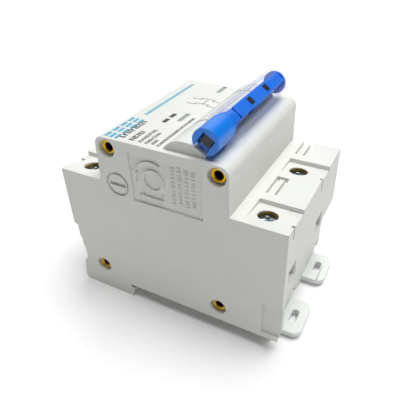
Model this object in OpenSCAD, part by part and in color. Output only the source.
// Two-pole miniature circuit breaker for a 35 mm top-hat rail.
// X runs across the poles, Y along the case from the rail clips (-) to the line terminals (+),
// Z out of the rail. The origin is on the rail seat, at the centre of the width and of the nose.
// The breaker is off: the toggle leans towards the clips and the contacts are open.

/* [Case] */
// Width of one pole
pole_w = 27; // [25:0.5:36]
// Height of the terminal shoulders above the rail seat
shoulder_z = 44; // [41:0.5:54]
// Height of the nose above the rail seat
nose_z = 60; // [60:0.5:72]
// Half length of the nose
nose_half = 22.5; // [22:0.25:27]
// Nose centre to the line end of the case
line_end = 39.5; // [38:0.5:48]
// Nose centre to the clip end of the case
load_end = 40.3; // [39.5:0.1:48.5]
// Wall thickness of the shells
wall = 1.7; // [1.5:0.05:2.1]
// Left side of a pole to the joint between its two shells
seam_x = 13; // [12.4:0.1:15]
// Radius of the nose's long edges
nose_r = 2.8; // [1.5:0.1:3.4]
// Depth of the fixed foot below the rail seat
foot_drop = 5.6; // [4.5:0.1:6.8]
// Drop of the terminal pocket where it meets the higher shell
pocket_drop = 1.5; // [0.5:0.1:1.7]

/* [Rail] */
// Width of the mounting rail
rail_w = 35; // [34:0.5:36]
// Thickness of the rail's rim
rail_rim = 1.0; // [0.8:0.1:1.3]
// Reach of the hook and of the clip's jaw under the rim
hook_reach = 1.3; // [0.8:0.1:1.8]

/* [Toggle] */
// Toggle axis along the case
pivot_y = -7.7; // [-9:0.1:-6]
// Depth of the toggle axis below the top of the nose
pivot_depth = 5; // [4:0.1:6]
// Radius of the raised dome over the toggle
dome_r = 8.6; // [8:0.1:8.8]
// Wall of the dome
dome_wall = 1.1; // [0.9:0.1:1.3]
// Lean of the toggle towards the clips when it is off
lean = 34.5; // [30:0.5:38]
// Swing of the toggle from off to on
throw = 66; // [56:1:70]
// Radius of the toggle pin
toggle_pin_r = 1.5; // [1.2:0.05:2.0]
// Toggle axis to the axis of the handle bar
bar_u = 12.7; // [12.6:0.1:15]
// Radius of the round end of the handle bar
grip_r = 4.05; // [3.8:0.05:4.1]
// Thickness of the toggle paddle
paddle_t = 4.2; // [3.4:0.1:4.6]
// Side of the square tie rod
rod_side = 3.2; // [2:0.1:3.4]
// Outer radius of the clear cover
cover_r = 4.9; // [4.7:0.1:5.6]
// Wall of the clear cover
cover_wall = 0.8; // [0.6:0.05:0.85]

/* [Contacts] */
// Radius of the drum's crank
crank_r = 5; // [4.5:0.1:5.6]
// Radius of the link wire
wire_r = 0.65; // [0.5:0.05:0.8]
// Radius of the contact carrier's pin
carrier_pin_r = 1.2; // [0.9:0.05:1.6]
// Turn of the contact carrier from open to closed
carrier_turn = 33; // [28:1:35]
// Width of the moving contact arm
arm_w = 4; // [3:0.5:5]
// Radius of the trip coil
coil_r = 5.4; // [4.5:0.1:5.8]
// Radius of the plunger
plunger_r = 2.6; // [2:0.1:3]
// Radius of the common trip rod
trip_rod_r = 1.2; // [0.9:0.05:1.6]

/* [Terminals] */
// Nose centre to a terminal screw
screw_y = 31.6; // [31:0.1:33]
// Radius of the screwdriver hole
access_r = 3.1; // [2.6:0.1:3.4]
// Radius of the terminal screw's thread
thread_r = 2.5; // [2:0.1:2.8]
// Width of the clamp cage
cage_w = 9.3; // [8.8:0.1:10]
// Wall of the clamp cage
cage_t = 1.2; // [1:0.1:1.5]
// Height of the wire space under the tongue
wire_h = 7; // [5:0.25:7.5]
// Width of a wire entry
entry_w = 6; // [4.8:0.1:6.8]
// Height of a wire entry
entry_h = 5.6; // [4.6:0.1:6.4]

/* [Rivets and clips] */
// Outer radius of the rivet tube
rivet_r = 1.9; // [1.5:0.1:2.1]
// Radius of the counterbore around a rivet
counterbore_r = 2.95; // [2.7:0.05:3.1]
// Width of the clip's tab
tab_w = 15; // [13:0.5:17]
// Depth of the counterbore around a rivet
bore_drop = 1.6; // [1:0.1:1.6]
// Reach of the clip's tab beyond the case
tab_reach = 4.5; // [4:0.1:6]

/* [Clearances] */
// Radial clearance of a pin in its bore
run = 0.04; // [0.02:0.01:0.08]
// Gap between pieces that move past each other
gap = 0.3; // [0.2:0.05:0.4]

/* [Hidden] */
$fn = 48;
cut = 20;        // overshoot of a cutting solid
sliver = 0.01;   // overshoot where two solids of one piece join

mid_x = pole_w / 2;                 // centre plane of a pole
pivot_z = nose_z - pivot_depth;     // toggle axis
rail_edge = rail_w / 2;
hook_y = rail_edge + 0.2;           // inner wall of the foot
dome_end = 2;                       // dome to the outer side of the breaker
inner_y = nose_half - wall;         // mechanism chamber
chamber_z = 19.5;                   // floor of the terminal chambers
ceiling = shoulder_z - wall - 0.5;  // ceiling of the terminal chambers
drum_r = dome_r - dome_wall - gap;
drum_w = 12;
band_w = 8;                         // band of the drum that shows in the dome
boss_w = 2;                         // boss around a pin, inside the wall
pin_in = 0.8;                       // pin's end, inside the outer face

// crank, link and contact carrier
crank_off = 38;                     // crank from straight down, towards the line end
crank_y = pivot_y + crank_r * sin(crank_off);
crank_z = pivot_z - crank_r * cos(crank_off);
link_lean = 18.5;
link_len = 11.44;
hole_y = crank_y + link_len * sin(link_lean);
hole_z = crank_z - link_len * cos(link_lean);
arm_off = 11;                       // upper arm of the carrier when off
upper_r = 10;                       // carrier axis to the link's hole
carrier_y = hole_y - upper_r * sin(arm_off);
carrier_z = hole_z - upper_r * cos(arm_off);
contact_off = -12;                  // contact arm when off
contact_on = contact_off + carrier_turn;
tip_z = -12;                        // contact tip from the carrier's axis
arm_t = 1.8;
tip_t = 1.2;
slot_play = 1.3;                    // free run of the link in the carrier's slot

// coil, trip gear and bimetal
coil_z = carrier_z - 4.4;
coil_y = 7.6;
coil_len = 10;
coil_turns = 4;
coil_wire = 0.75;
bobbin_r = plunger_r + 0.615 * (coil_r - 2 * coil_wire - plunger_r);   // tube between plunger and winding
trip_y = -13;
trip_z = carrier_z - 4.6;
bimetal_y = -17.4;
bimetal_t = 1;
strap_t = 1.6;
strap_z = chamber_z + 0.5 + cage_t + wire_h;   // underside of the terminal tongues
arc_y = 6;
arc_len = 14;
arc_plates_n = 8;
arc_pitch = 1.3;

// terminals
cage_len = 11;
cage_x = wall + 0.2;                // left side of the cage
screw_x = cage_x + cage_w / 2;
cage_z = chamber_z + 0.5;           // underside of the lowered cage
cage_top = 2.2;                     // threaded top of the cage
cage_h = cage_t + wire_h + strap_t + 0.2 + cage_top;
head_z = ceiling - 2.8;             // underside of the screw head
head_h = 2.6;
head_r = access_r + 0.6;
wire_w = cage_w - 2 * cage_t;       // clear width for the wire
wire_low = cage_z + cage_t;         // wire space under the tongue
wire_high = strap_z - 0.2;

// clips
clip_plate_z = -4;                  // underside of the clip's tab
tab_t = 1.9;
tab_x = mid_x + 1.1;                // the tab is a little off the pole's centre
tab_r = 3;
clip_w = pole_w - 6.8;
clip_travel = 3.5;
channel_h = 4.2;
spring_y = -rail_edge - 5.5;
peg_y = -load_end + 5.1;

// ---------- shared shapes ----------
module slab(x0, x1) {
  translate([x0, 0, 0]) rotate([90, 0, 90]) linear_extrude(x1 - x0) children();
}
module rod_x(y, z, r, x0, x1) {
  translate([x0, y, z]) rotate([0, 90, 0]) cylinder(r = r, h = x1 - x0);
}
module rod_y(x, z, r, y0, y1) {
  translate([x, y0, z]) rotate([-90, 0, 0]) cylinder(r = r, h = y1 - y0);
}
module rod_z(x, y, r, z0, z1) {
  translate([x, y, z0]) cylinder(r = r, h = z1 - z0);
}
module block(x0, x1, y0, y1, z0, z1) {
  translate([x0, y0, z0]) cube([x1 - x0, y1 - y0, z1 - z0]);
}
module pole(n) {
  translate([(n - 2) * pole_w, 0, 0]) children();
}
function arc(cy, cz, r, a0, a1, n = 6) =
  [for (i = [0:n]) let (a = a0 + (a1 - a0) * i / n) [cy + r * cos(a), cz + r * sin(a)]];

// A round cord of radius r. Each row of the route is a point and a direction across the cord there.
function unit(v) = v / norm(v);
module cord(route, r, sides = 6) {
  last = len(route) - 1;
  points = [for (i = [0:last], s = [0:sides - 1])
    let (d = unit(route[min(i + 1, last)][0] - route[max(i - 1, 0)][0]), e = route[i][1], a = 360 * s / sides)
    route[i][0] + r * (cos(a) * e + sin(a) * cross(d, e))];
  faces = concat(
    [[for (s = [0:sides - 1]) s]],
    [for (i = [0:last - 1], s = [0:sides - 1])
      let (a = i * sides, b = a + sides, n = (s + 1) % sides) [a + s, b + s, b + n, a + n]],
    [[for (s = [0:sides - 1]) last * sides + sides - 1 - s]]);
  polyhedron(points, faces, convexity = 10);
}
// Rows of a cord's route wound about Y, from the angle a0, one row every 1/16 turn.
function winding(c, radius, length, turns, a0 = 180) =
  [for (i = [0:turns * 16]) let (t = a0 - 22.5 * i, e = [cos(t), 0, sin(t)])
    [c + radius * e + [0, length * i / (turns * 16), 0], e]];
// Rows on a quadratic curve from a by way of b to c, in the plane across e.
function bend(a, b, c, e = [1, 0, 0], n = 5) =
  [for (i = [0:n]) let (t = i / n) [(1 - t) * (1 - t) * a + 2 * t * (1 - t) * b + t * t * c, e]];

// Turned about the toggle axis: children have Z along the toggle, Y across it.
module on_toggle() {
  translate([0, pivot_y, pivot_z]) rotate([lean, 0, 0]) children();
}
// Turned about the carrier's axis by an angle, contacts below the axis.
module on_carrier(angle) {
  translate([0, carrier_y, carrier_z]) rotate([angle, 0, 0]) children();
}

// ---------- case ----------
foot_hook_z = rail_rim + 0.35;      // hook's upper face below the seat
skirt_z = 22.5;                     // the clip end draws in below this height
case_outline = concat(
  [[-load_end + 3.1, 0], [hook_y, 0], [hook_y, -foot_hook_z], [rail_edge - hook_reach, -foot_hook_z],
   [rail_edge - hook_reach, -foot_hook_z - 1.2], [hook_y - 0.2, -foot_drop]],
  arc(line_end - 2, -foot_drop + 1.8, 1.8, -90, 0, 4),
  [[line_end - 0.5, 0], [line_end - 1, 1.8], [line_end - 1.1, 3.6], [line_end - 2.8, 6],
   [line_end - 2.8, 9.4], [line_end - 2.2, 11.6], [line_end - 2.2, 14.4], [line_end - 1.5, 15.8],
   [line_end - 1.4, 20.8],
   [line_end, 21.2], [line_end, shoulder_z], [nose_half + 0.3, shoulder_z]],
  arc(nose_half - nose_r, nose_z - nose_r, nose_r, 0, 90),
  arc(-nose_half + nose_r, nose_z - nose_r, nose_r, 90, 180),
  [[-nose_half, shoulder_z], [-load_end, shoulder_z], [-load_end, skirt_z], [-load_end + 2.7, 12.5],
   [-load_end + 3.1, 7]]);

// The left side of the breaker keeps its full length down to the rail.
module side_cheek() {
  slab(0, 2.9) polygon([[-load_end, skirt_z + 1], [-load_end, 3.5], [-load_end + 0.8, 0],
    [-load_end + 5, 0], [-load_end + 5, skirt_z + 1]]);
}
rivet_places = [[nose_half - 4, nose_z - 3.6], [-nose_half + 3.7, nose_z - 3.6],
  [line_end - 10.6, 5.4], [-rail_edge - 0.9, 5.9]];
post_r = rivet_r + 1.15;

// Everything inside a pole that is air, between its two outer walls.
module chambers() {
  x0 = wall;
  x1 = pole_w - wall;
  block(x0, x1, -inner_y, inner_y, channel_h + 1.3, nose_z - wall);
  block(x0, x1, rail_edge - 16, inner_y, wall, channel_h + 1.31);
  for (side = [-1, 1]) {
    outer = side > 0 ? line_end - wall : load_end - wall - 0.4;
    y0 = side > 0 ? nose_half : -outer;
    y1 = side > 0 ? outer : -nose_half;
    block(x0, x1, y0, y1, chamber_z, ceiling);
    low = side > 0 ? line_end - 2.8 - wall : load_end - 3.1 - wall;
    block(x0, x1, side > 0 ? nose_half : -low, side > 0 ? low : -nose_half, 10, chamber_z - wall);
  }
}
// Conductor slots through the partitions, and the two wire entries.
module passages() {
  for (side = [-1, 1]) {
    y0 = side > 0 ? inner_y - sliver : -nose_half - sliver;
    block(wall + 0.8, mid_x + 3.6, y0, y0 + wall + 2 * sliver, strap_z - 0.4, strap_z + strap_t + 0.4);
    e = side > 0 ? line_end : load_end;
    x0 = screw_x - entry_w / 2;
    z0 = (wire_low + wire_high - entry_h) / 2;
    ya = side > 0 ? e - wall - 1 : -e - 1;
    block(x0, x0 + entry_w, ya, ya + wall + 2, z0, z0 + entry_h);
    // lead-in around the entry
    lead = 0.4;
    yb = side > 0 ? e - 0.4 : -e - 1;
    block(x0 - lead, x0 + entry_w + lead, yb, yb + 1.4, z0 - lead, z0 + entry_h + lead);
  }
}
module shoulder_cuts() {
  for (side = [-1, 1]) {
    rod_z(screw_x, side * screw_y, access_r, ceiling - 1, shoulder_z + 1);
    e = side > 0 ? line_end : load_end;
    // sloping pocket of the left shell: level at the side, deepest at the seam
    y0 = side > 0 ? nose_half + 4 : -e - 1;
    translate([0, y0 + e + 1 - nose_half - 4, 0]) rotate([90, 0, 0]) linear_extrude(e + 1 - nose_half - 4)
      polygon([[3, shoulder_z], [seam_x, shoulder_z - pocket_drop], [seam_x, shoulder_z + 1],
        [3, shoulder_z + 1]]);
    // marking slots of the right shell, open towards the next pole
    yc = side * (screw_y - 2.85);
    difference() {
      block(pole_w - 10.4, pole_w + 1, yc - 2, yc + 2, shoulder_z - 1.5, shoulder_z + 1);
      block(pole_w - 11, pole_w - 1.5, yc - (side > 0 ? 1.2 : 0.9), yc + (side > 0 ? 0.9 : 0.6),
        0, shoulder_z);
    }
  }
  // tool notch in the line edge, small nick in the load edge
  block(5, 9.4, line_end - 2, line_end + 1, shoulder_z - 5, shoulder_z + 1);
  block(4, 5.2, -load_end - 1, -load_end + 0.9, shoulder_z - 5, shoulder_z + 1);
}
// Step of the right shell over the left one, near the clip end and the line end.
module seam_tongue(grow) {
  over = grow > 0 ? 1 : 0;
  for (side = [-1, 1]) {
    e = side > 0 ? line_end : load_end;
    near = nose_half + 14 - grow;
    y0 = side > 0 ? near : -e - over;
    block(seam_x - 1.8 - grow, seam_x + sliver + over, y0, y0 + e + over - near,
      shoulder_z - wall - grow, shoulder_z + over);
  }
}
module clip_channel() {
  x0 = mid_x - clip_w / 2 - gap;
  block(x0, x0 + clip_w + 2 * gap, -load_end - 1, -rail_edge + 0.5, -1, channel_h - 1.4);
  // flange grooves
  block(x0 - 1, x0 + clip_w + 2 * gap + 1, -load_end - 1, -rail_edge - 3.2, 1.1, channel_h - 1.4);
}
module pin_bores(grow) {
  rod_x(pivot_y, pivot_z, toggle_pin_r + grow, pin_in, pole_w - pin_in);
  rod_x(carrier_y, carrier_z, carrier_pin_r + grow, pin_in, pole_w - pin_in);
}
module pin_bosses() {
  for (x = [wall - sliver, pole_w - wall - boss_w + sliver]) {
    rod_x(pivot_y, pivot_z, toggle_pin_r + 1.3, x, x + boss_w);
    rod_x(carrier_y, carrier_z, carrier_pin_r + 1.3, x, x + boss_w);
    rod_x(trip_y, trip_z, trip_rod_r + 1.3, x, x + boss_w);
  }
}
module side_marks(x_face, depth) {
  // shallow plate recess with a ring, a curved arrow and a straight arrow
  y0 = -14;
  y1 = 10.7;
  z0 = nose_z - 20.1;
  z1 = nose_z - 2.9;
  difference() {
    block(x_face - 1, x_face + depth, y0, y1, z0, z1);
    slab(x_face - 2, x_face + depth + 1) {
      difference() {
        translate([2.7, nose_z - 11]) circle(r = 3.8);
        translate([2.7, nose_z - 11]) circle(r = 3.0);
      }
      difference() {
        translate([3.2, nose_z - 10.6]) circle(r = 6.1);
        translate([3.2, nose_z - 10.6]) circle(r = 5.6);
        polygon([[-10, 30], [3, nose_z - 10.6], [-4, nose_z + 2], [-10, nose_z]]);
        polygon([[-10, 30], [3.2, nose_z - 10.6], [12, nose_z - 14], [12, 30]]);
      }
      polygon([[8.2, nose_z - 9.2], [9.9, nose_z - 8.8], [8.4, nose_z - 11.6]]);
      translate([-0.6, nose_z - 17.6]) square([7, 0.5]);
      polygon([[6.4, nose_z - 18.3], [6.4, nose_z - 16.4], [8.4, nose_z - 17.35]]);
    }
  }
}
module case_shell(n, right_half) {
  x0 = right_half ? seam_x : 0;
  x1 = right_half ? pole_w : seam_x;
  outer_side = n == 1 ? !right_half : right_half;
  face = right_half ? pole_w : 0;
  dome0 = n == 1 ? dome_end : 0;
  dome1 = n == 1 ? pole_w : pole_w - dome_end;
  difference() {
    union() {
      difference() {
        union() {
          slab(x0, x1) polygon(case_outline);
          intersection() {
            rod_x(pivot_y, pivot_z, dome_r, dome0, dome1);
            block(x0, x1, -nose_half, nose_half, nose_z - wall, nose_z + cut);
          }
          if (right_half) seam_tongue(0);
          if (outer_side && !right_half) side_cheek();
        }
        chambers();
        rod_x(pivot_y, pivot_z, dome_r - dome_wall, dome0 + (n == 1 ? 1.2 : wall),
          dome1 - (n == 1 ? wall : 1.2));
        passages();
        clip_channel();
        if (!right_half) seam_tongue(0.05);
      }
      intersection() {
        union() {
          pin_bosses();
          for (place = rivet_places) rod_x(place[0], place[1], post_r, wall - sliver, pole_w - wall + sliver);
          // peg that the clip's spring bears on
          block(mid_x - 1.9, mid_x + 1.9, peg_y, peg_y + 1.6, -0.6, channel_h);
        }
        block(x0, x1, -load_end, line_end, -1, nose_z - 0.3);
      }
    }
    pin_bores(0.02);
    rod_x(trip_y, trip_z, trip_rod_r + run, n == 1 ? pin_in : -1, n == 1 ? pole_w + 1 : pole_w - pin_in);
    for (place = rivet_places) {
      rod_x(place[0], place[1], rivet_r + 0.02, -1, pole_w + 1);
      if (outer_side) rod_x(place[0], place[1], counterbore_r, face - bore_drop, face + bore_drop);
    }
    shoulder_cuts();
    // window for the drum's band, which fills the dome between its two halves
    rod_x(pivot_y, pivot_z, dome_r + gap - 0.1, mid_x - band_w / 2 - gap, mid_x + band_w / 2 + gap);
    // contact indicator window beside the toggle
    block(pole_w - 7.6, pole_w - wall + 0.2, 4, 5.5, nose_z - 0.6, nose_z + 1);
    if (outer_side && !right_half) {
      side_marks(0, 0.5);
      clip_notch();
      // ring and slot of a moulded plug, beside the plate recess
      difference() {
        rod_x(16.2, shoulder_z + 0.4, 4.3, -1, 0.6);
        rod_x(16.2, shoulder_z + 0.4, 3.5, -2, 0.7);
      }
      block(-1, 0.6, 13.3, 19.1, shoulder_z - 0.3, shoulder_z + 1.1);
    }
  }
}
// Notch at the foot of the clip end that shows the clip's side.
module clip_notch() {
  block(-1, 1.1, -load_end - 1, -load_end + 6.5, 1.2, 15.2);
}
module case_left(n) { color("whitesmoke") pole(n) case_shell(n, false); }
module case_right(n) { color("whitesmoke") pole(n) case_shell(n, true); }

module rivets() {
  flange_r = counterbore_r - 0.45;
  hole_r = rivet_r - 0.45;
  seat = pole_w - bore_drop;
  color("gold") for (place = rivet_places) difference() {
    union() {
      rod_x(place[0], place[1], rivet_r, -seat, seat);
      for (x = [-seat - 0.5, seat]) rod_x(place[0], place[1], flange_r, x, x + 0.5);
    }
    rod_x(place[0], place[1], hole_r, -pole_w - 1, pole_w + 1);
  }
}

// ---------- toggle ----------
paddle_w = 20.4;
neck_w = 7;
neck_foot = 3.6;
module toggle_drum(n) {
  color("gainsboro") pole(n) difference() {
    union() {
      rod_x(pivot_y, pivot_z, drum_r, mid_x - drum_w / 2, mid_x + drum_w / 2);
      rod_x(pivot_y, pivot_z, dome_r - 0.1, mid_x - band_w / 2, mid_x + band_w / 2);
    }
    rod_x(pivot_y, pivot_z, toggle_pin_r + run, 0, pole_w);
    // pocket for the paddle's neck
    on_toggle() block(mid_x - neck_w / 2 - 0.02, mid_x + neck_w / 2 + 0.02,
      -paddle_t / 2 - 0.02, paddle_t / 2 + 0.02, neck_foot, cut);
    // crank bore, and the slot that the link swings in
    rod_x(crank_y, crank_z, wire_r + run, mid_x - 3.5, mid_x + 3.5);
    block(mid_x - 1.4, mid_x + 1.4, crank_y - 1.5, crank_y + cut, pivot_z - cut, crank_z + 1.5);
  }
}
module toggle_paddle(n) {
  top = bar_u + rod_side / 2 + 0.5;
  shoulder = dome_r + 0.6;
  color("dodgerblue") pole(n) on_toggle() difference() {
    union() {
      block(mid_x - neck_w / 2, mid_x + neck_w / 2, -paddle_t / 2, paddle_t / 2, neck_foot, shoulder + 1);
      block(mid_x - paddle_w / 2, mid_x + paddle_w / 2, -paddle_t / 2, paddle_t / 2, shoulder, top);
    }
    block(0, pole_w, -rod_side / 2 - 0.05, rod_side / 2 + 0.05,
      bar_u - rod_side / 2 - 0.05, bar_u + rod_side / 2 + 0.05);
  }
}
module toggle_pins() {
  color("silver") for (n = [1, 2]) pole(n) rod_x(pivot_y, pivot_z, toggle_pin_r, pin_in, pole_w - pin_in);
}
module toggle_spring(n) {
  start = mid_x + drum_w / 2 + 0.6;
  color("dimgray") pole(n) translate([start, pivot_y, pivot_z]) rotate([0, 0, -90])
    cord(winding([0, 0, 0], toggle_pin_r + 0.7, 2.4, 3), 0.3);
}
module tie_rod() {
  color("black") on_toggle()
    block(cap_x0 + 0.9, pole_w / 2 + paddle_w / 2 - 0.6, -rod_side / 2, rod_side / 2,
      bar_u - rod_side / 2, bar_u + rod_side / 2);
}
cap_x0 = -pole_w + 1.4;
cap_x1 = cap_x0 + 9.2;
cap_tip = cap_x0 + 14;
cover_x0 = cap_x0 + 9.8;
cover_x1 = pole_w - 1.4;
rib_x = cap_tip + 0.2;
rib_t = 1.3;
// the bar's top stays clear of the cover's round wall
bar_t = sqrt(pow(cover_r - cover_wall, 2) - pow(paddle_t / 2, 2)) - rod_side / 2 - 0.67;
module handle_cap() {
  slot = paddle_t / 2 + 0.03;
  color("dodgerblue") on_toggle() difference() {
    // round bar whose shoulders draw in to a narrow tip, under the clear cover
    intersection() {
      rod_x(0, bar_u, grip_r, cap_x0, cap_tip);
      linear_extrude(2 * cut) polygon([[cap_x0 - 1, -grip_r - 1], [cap_x1 - 1, -grip_r - 1],
        [cap_x1, -grip_r + 0.1], [cap_tip - 1.7, -paddle_t / 2], [cap_tip + 1, -paddle_t / 2],
        [cap_tip + 1, paddle_t / 2], [cap_tip - 1.7, paddle_t / 2], [cap_x1, grip_r - 0.1],
        [cap_x1 - 1, grip_r + 1], [cap_x0 - 1, grip_r + 1]]);
    }
    block(cap_x0 - 1, cap_tip + 1, -slot, slot, bar_u - cut, bar_u + rod_side / 2 + 0.55);
  }
}
module handle_bar() {
  low = bar_u + rod_side / 2 + 0.55;
  color("royalblue") on_toggle() difference() {
    block(rib_x + rib_t + 0.2, cover_x1 - cover_wall - 0.1, -paddle_t / 2, paddle_t / 2, low, low + bar_t);
    for (x = [-0.5, 11.5]) block(x - 1.2, x + 1.2, -1.2, 1.2, low + 0.7, low + bar_t + 1);
  }
}
module cover_body(r, x0, x1) {
  foot = bar_u - 3;
  rod_x(0, bar_u, r, x0, x1);
  block(x0, x1, -r, r, r < cover_r ? foot - 1 : foot, bar_u);
}
module clear_cover() {
  foot = bar_u - 3;
  inner = cover_r - cover_wall;
  color("lavender", 0.5) on_toggle() difference() {
    difference() {
      cover_body(cover_r, cover_x0, cover_x1);
      block(cover_x0 - 1, cover_x1 + 1, -cut, cut, 0, foot);
    }
    cover_body(inner, cover_x0 - 1, rib_x);
    cover_body(inner, rib_x + rib_t, cover_x1 - cover_wall);
    // the rib stands astride the paddle
    block(rib_x - 1, rib_x + rib_t + 1, -paddle_t / 2 - 0.03, paddle_t / 2 + 0.03,
      0, bar_u + rod_side / 2 + 0.55);
  }
}

// ---------- contacts ----------
cheek = 1.9;         // inside of the carrier's cheeks from the centre plane
cheek_out = 4.4;
module toggle_link(n) {
  color("silver") pole(n) {
    rod_x(crank_y, crank_z, wire_r, mid_x - 3.2, mid_x + 3.2);
    rod_x(hole_y, hole_z, wire_r, mid_x - cheek_out + 0.4, mid_x + cheek_out - 0.4);
    translate([mid_x, crank_y, crank_z]) rotate([180 + link_lean, 0, 0]) cylinder(r = wire_r, h = link_len);
  }
}
module contact_carrier(n) {
  color("saddlebrown") pole(n) difference() {
    union() {
      rod_x(carrier_y, carrier_z, 3.6, mid_x - cheek_out, mid_x + cheek_out);
      // two cheeks with the link between them
      on_carrier(-arm_off) for (x = [mid_x - cheek_out + 0.2, mid_x + cheek])
        block(x, x + cheek_out - cheek - 0.2, -1.9, 1.9, 1.9, upper_r + wire_r + 1.2);
    }
    rod_x(carrier_y, carrier_z, carrier_pin_r + run, 0, pole_w);
    // slot for the link, with free run towards the axis
    on_carrier(-arm_off)
      block(0, pole_w, -wire_r - 0.3, wire_r + 0.3, upper_r - slot_play - wire_r, upper_r + wire_r + 0.15);
    // seat of the contact arm
    on_carrier(contact_off) block(mid_x - arm_w / 2 - 0.02, mid_x + arm_w / 2 + 0.02,
      -arm_t / 2 - 0.02, arm_t / 2 + 0.02, -cut, -carrier_pin_r - 0.6);
  }
}
module carrier_pins() {
  color("silver") for (n = [1, 2]) pole(n)
    rod_x(carrier_y, carrier_z, carrier_pin_r, pin_in, pole_w - pin_in);
}
module contact_arm(n) {
  color("peru") pole(n) on_carrier(contact_off) {
    block(mid_x - arm_w / 2, mid_x + arm_w / 2, -arm_t / 2, arm_t / 2, tip_z - 2.4, -carrier_pin_r - 0.6);
    rod_y(mid_x, tip_z, 1.9, arm_t / 2 - sliver, arm_t / 2 + tip_t);
  }
}
module braid(n) {
  // from the back of the contact arm, under the trip lever, to the foot of the bimetal
  p0 = [mid_x, carrier_y - 4.1, carrier_z - 10.4];
  p1 = p0 + [0, -2.0, -2.5];
  p3 = [mid_x, bimetal_y - bimetal_t / 2, trip_z - 10.02];
  p2 = p3 - [0, 0, 10];
  color("chocolate") pole(n) cord([for (i = [0:10]) let (t = i / 10, q = 1 - t)
    [q * q * q * p0 + 3 * q * q * t * p1 + 3 * q * t * t * p2 + t * t * t * p3, [1, 0, 0]]], 0.9, 8);
}
fixed_face = arm_t / 2 + tip_t + 0.15;
module fixed_contact(n) {
  base_z = carrier_z - 15.8;
  color("peru") pole(n) {
    on_carrier(contact_on) {
      rod_y(mid_x, tip_z, 2.1, fixed_face, fixed_face + tip_t);
      block(mid_x - 3, mid_x + 3, fixed_face + tip_t - sliver, fixed_face + tip_t + arm_t,
        tip_z - 5, tip_z + 2.3);
    }
    // foot of the contact, running under the coil to its first lead
    block(mid_x - coil_r, mid_x + 3, 5.9, coil_y + coil_len - 2, base_z, base_z + strap_t);
  }
}
module trip_coil(n) {
  wound = coil_r - coil_wire;
  start = coil_y + 1.5;
  end = coil_y + coil_len - 1.4;
  side = [-1, 0, 0];
  // leads: up from the foot of the fixed contact, and along to the line strap
  foot = [mid_x - wound, start, carrier_z - 15.8 + strap_t];
  out = [mid_x - wound, end, coil_z];
  tip = [mid_x - wound, inner_y - 0.2 - strap_t, coil_z + 1.2];
  turns = winding([mid_x, start, coil_z], wound, end - start, coil_turns);
  turn_out = bend(out, out + [0, 0.2, 1.2], [out[0], out[1] + 1.4, tip[2]], side);
  color("chocolate") pole(n)
    cord(concat([[foot, side]], turns, [for (i = [1:5]) turn_out[i]], [[tip, side]]), coil_wire);
}
module coil_yoke(n) {
  t = 1.4;
  w = coil_r - 1.8;
  outer = coil_r + 0.5;
  color("slategray") pole(n) difference() {
    union() {
      block(mid_x - w, mid_x + w, coil_y - 0.9, coil_y + coil_len + 0.9, coil_z + outer, coil_z + outer + t);
      for (y = [coil_y - 0.9, coil_y + coil_len - 0.5])
        block(mid_x - w, mid_x + w, y, y + t, coil_z - outer + 1, coil_z + outer + sliver);
      // bobbin tube
      rod_y(mid_x, coil_z, bobbin_r, coil_y - 0.5, coil_y + coil_len);
    }
    rod_y(mid_x, coil_z, plunger_r + run, coil_y - 2, coil_y + coil_len + 2);
  }
}
plunger_travel = 1.9;
module plunger(n) {
  color("lightsteelblue") pole(n) {
    rod_y(mid_x, coil_z, plunger_r, coil_y + plunger_travel, coil_y + coil_len + 0.4);
    // pin, which ends its stroke just short of the closed contact arm
    rod_y(mid_x, coil_z, 1, 2.3, coil_y + plunger_travel + sliver);
  }
}
arc_z = 2.4;
module arc_plates(n) {
  w = 12.6;
  color("gray") pole(n) for (i = [0:arc_plates_n - 1]) translate([0, 0, arc_z + i * arc_pitch]) difference() {
    block(mid_x - w / 2, mid_x + w / 2, arc_y, arc_y + arc_len, 0, 0.7);
    linear_extrude(3, center = true)
      polygon([[mid_x - 2.6, arc_y - 1], [mid_x + 2.6, arc_y - 1], [mid_x, arc_y + 8]]);
  }
}
module arc_holder(n) {
  w = 12.6;
  top = arc_z + (arc_plates_n - 1) * arc_pitch + 0.7;
  color("brown") pole(n) for (x = [mid_x - w / 2 - 0.8, mid_x + w / 2])
    block(x, x + 0.8, arc_y, arc_y + arc_len, arc_z - 0.4, top + 0.3);
}

// ---------- trip gear ----------
module trip_rod() {
  color("dimgray") rod_x(trip_y, trip_z, trip_rod_r, -pole_w + pin_in + 0.1, pole_w - pin_in - 0.1);
}
module trip_lever(n) {
  color("ivory") pole(n) difference() {
    union() {
      rod_x(trip_y, trip_z, trip_rod_r + 1.4, mid_x - 3, mid_x + 3);
      block(mid_x - 2.5, mid_x + 2.5, trip_y - 1.1, trip_y + 1.1, trip_z - 9, trip_z);
      block(mid_x - 2.5, mid_x + 2.5, trip_y - 3.2, trip_y + 1.1, trip_z - 9, trip_z - 7.2);
      block(mid_x - 2.5, mid_x + 2.5, trip_y - 1, trip_y + 1, trip_z, trip_z + 8);
    }
    rod_x(trip_y, trip_z, trip_rod_r, 0, pole_w);
  }
}
module bimetal(n) {
  color("darkgoldenrod") pole(n)
    block(mid_x - 3, mid_x + 3, bimetal_y - bimetal_t, bimetal_y, trip_z - 10, strap_z + 8);
}
module load_strap(n) {
  y1 = bimetal_y - bimetal_t;
  back = y1 - strap_t;
  color("peru") pole(n) difference() {
    union() {
      terminal_tongue(-1);
      block(screw_x - wire_w / 2 + 0.4, mid_x + 3, -nose_half - 0.4, back + sliver,
        strap_z, strap_z + strap_t);
      block(mid_x - 3, mid_x + 3, back, y1, trip_z - 6, strap_z + 8);
    }
    rod_y(mid_x, trip_z - 3, 1.25 + 0.02, back - 1, y1 + 1);
  }
}
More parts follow.
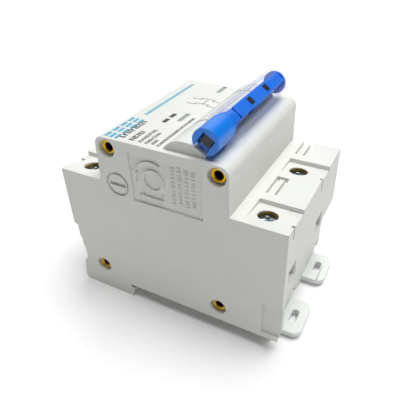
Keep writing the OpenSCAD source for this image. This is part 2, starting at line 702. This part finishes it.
module calibration_screws() {
  y1 = bimetal_y - bimetal_t;
  color("silver") for (n = [1, 2]) pole(n) difference() {
    union() {
      rod_y(mid_x, trip_z - 3, 1.25, y1 - strap_t - 0.5, y1 - 0.02);
      rod_y(mid_x, trip_z - 3, 1.9, y1 - strap_t - 0.58, y1 - strap_t - 0.02);
    }
    block(mid_x - 3, mid_x + 3, y1 - strap_t - 2, y1 - strap_t - 0.3, trip_z - 3.25, trip_z - 2.75);
  }
}

// ---------- terminals ----------
// Copper tongue that the wire is clamped against, with a web beside the cage.
module terminal_tongue(side) {
  far = screw_y + cage_len / 2 - 0.4;
  near = nose_half + 0.3;
  x0 = screw_x - wire_w / 2 + 0.4;
  x1 = screw_x + wire_w / 2 - 0.4;
  web_x = cage_x + cage_w + 0.35;
  y = [side > 0 ? near : -far, side > 0 ? far : -near];
  block(x0, x1, y[0], y[1], strap_z, strap_z + strap_t);
  c = [side > 0 ? near : -near - 2.6, side > 0 ? near + 2.6 : -near];
  block(x0, web_x + 1.2, c[0], c[1], strap_z, strap_z + strap_t);
  block(web_x, web_x + 1.2, y[0], y[1], strap_z, ceiling - 0.6);
}
module line_strap(n) {
  web_y = inner_y - 0.2;
  color("peru") pole(n) {
    terminal_tongue(1);
    block(screw_x - wire_w / 2 + 0.4, mid_x + 3, web_y - strap_t, nose_half + 0.4,
      strap_z, strap_z + strap_t);
    block(mid_x - coil_r, mid_x + 3, web_y - strap_t, web_y, coil_z - 1.5, strap_z + sliver);
  }
}
module clamp_cage(side) {
  y0 = side * screw_y - cage_len / 2;
  difference() {
    block(cage_x, cage_x + cage_w, y0, y0 + cage_len, cage_z, cage_z + cage_h);
    block(cage_x + cage_t, cage_x + cage_w - cage_t, y0 - 1, y0 + cage_len + 1,
      cage_z + cage_t, cage_z + cage_h - cage_top);
    rod_z(screw_x, side * screw_y, thread_r + run, cage_z + cage_h - 3, cage_z + cage_h + 1);
  }
}
module terminal_screw(side) {
  tip = strap_z + strap_t + 0.02;
  difference() {
    union() {
      rod_z(screw_x, side * screw_y, thread_r, tip, head_z + sliver);
      rod_z(screw_x, side * screw_y, head_r, head_z, head_z + head_h);
    }
    translate([screw_x, side * screw_y, head_z + head_h]) for (a = [20, 110]) rotate([0, 0, a])
      cube([4.6, 0.9, 2.6], center = true);
  }
}
module line_clamp(n) { color("goldenrod") pole(n) clamp_cage(1); }
module load_clamp(n) { color("goldenrod") pole(n) clamp_cage(-1); }
module line_screw(n) { color("silver") pole(n) terminal_screw(1); }
module load_screw(n) { color("silver") pole(n) terminal_screw(-1); }

// ---------- rail clips ----------
module tab_plate(x, y_end, t) {
  // rounded tab with a slot for a screwdriver
  linear_extrude(t) difference() {
    union() {
      translate([x - tab_w / 2, y_end + tab_r]) square([tab_w, -y_end - tab_r + spring_y - 8]);
      translate([x - tab_w / 2 + tab_r, y_end]) square([tab_w - 2 * tab_r, 2 * tab_r]);
      for (s = [-1, 1]) translate([x + s * (tab_w / 2 - tab_r), y_end + tab_r]) circle(r = tab_r);
    }
    translate([x, y_end + 4.3]) {
      translate([-1.6, -1.2]) square([3.2, 2.4]);
      for (s = [-1, 1]) translate([s * 1.6, 0]) circle(r = 1.2);
    }
  }
}
module din_clip(n) {
  x0 = mid_x - clip_w / 2;
  x1 = x0 + clip_w;
  front = -rail_edge - 0.15;
  jaw = -rail_edge + hook_reach;
  end = -load_end + 3.6;
  top = channel_h - 1.4 - gap;
  color("white") pole(n) difference() {
    union() {
      block(x0, x1, end, front, clip_plate_z, 1.4);
      block(x0, x1, end, front - 3.5, clip_plate_z, top);
      block(x0 - 0.8, x1 + 0.8, end + 6, front - 3.5, 1.1 + gap, top);
      // jaw under the rail's rim, with a lead-in face
      slab(x0, x1) polygon([[front - 1, -foot_hook_z], [jaw, -foot_hook_z], [jaw, -foot_hook_z - 0.9],
        [front, clip_plate_z], [front - 1, clip_plate_z]]);
      translate([0, 0, clip_plate_z]) tab_plate(tab_x, -load_end - tab_reach, tab_t);
      // pads that the breaker rests on, level with the foot
      block(mid_x - 7, mid_x + 7, -load_end + 6.3, -rail_edge - 3.5, -foot_drop, clip_plate_z + sliver);
    }
    // pocket for the spring and the peg of the case
    block(mid_x - 2.3, mid_x + 2.3, peg_y - 0.4, spring_y + 0.2, -1.6, cut);
  }
}
module clip_spring(n) {
  from = peg_y + 1.93;
  color("gray") pole(n) cord(winding([mid_x, from, 0.7], 1.5, spring_y - 0.35 - from, 6), 0.28);
}

case_left(1);  // case_left_1
case_right(1);  // case_right_1
case_left(2);  // case_left_2
case_right(2);  // case_right_2
rivets();
toggle_drum(1);  // toggle_drum_1
toggle_drum(2);  // toggle_drum_2
toggle_paddle(1);  // toggle_paddle_1
toggle_paddle(2);  // toggle_paddle_2
toggle_pins();
toggle_spring(1);  // toggle_spring_1
toggle_spring(2);  // toggle_spring_2
tie_rod();
handle_cap();
handle_bar();
clear_cover();
toggle_link(1);  // toggle_link_1
toggle_link(2);  // toggle_link_2
contact_carrier(1);  // contact_carrier_1
contact_carrier(2);  // contact_carrier_2
carrier_pins();
contact_arm(1);  // contact_arm_1
contact_arm(2);  // contact_arm_2
braid(1);  // braid_1
braid(2);  // braid_2
fixed_contact(1);  // fixed_contact_1
fixed_contact(2);  // fixed_contact_2
trip_coil(1);  // trip_coil_1
trip_coil(2);  // trip_coil_2
coil_yoke(1);  // coil_yoke_1
coil_yoke(2);  // coil_yoke_2
plunger(1);  // plunger_1
plunger(2);  // plunger_2
arc_plates(1);  // arc_plates_1
arc_plates(2);  // arc_plates_2
arc_holder(1);  // arc_holder_1
arc_holder(2);  // arc_holder_2
trip_rod();
trip_lever(1);  // trip_lever_1
trip_lever(2);  // trip_lever_2
bimetal(1);  // bimetal_1
bimetal(2);  // bimetal_2
line_strap(1);  // line_strap_1
line_strap(2);  // line_strap_2
load_strap(1);  // load_strap_1
load_strap(2);  // load_strap_2
calibration_screws();
line_clamp(1);  // line_clamp_1
line_clamp(2);  // line_clamp_2
line_screw(1);  // line_screw_1
line_screw(2);  // line_screw_2
load_clamp(1);  // load_clamp_1
load_clamp(2);  // load_clamp_2
load_screw(1);  // load_screw_1
load_screw(2);  // load_screw_2
din_clip(1);  // din_clip_1
din_clip(2);  // din_clip_2
clip_spring(1);  // clip_spring_1
clip_spring(2);  // clip_spring_2
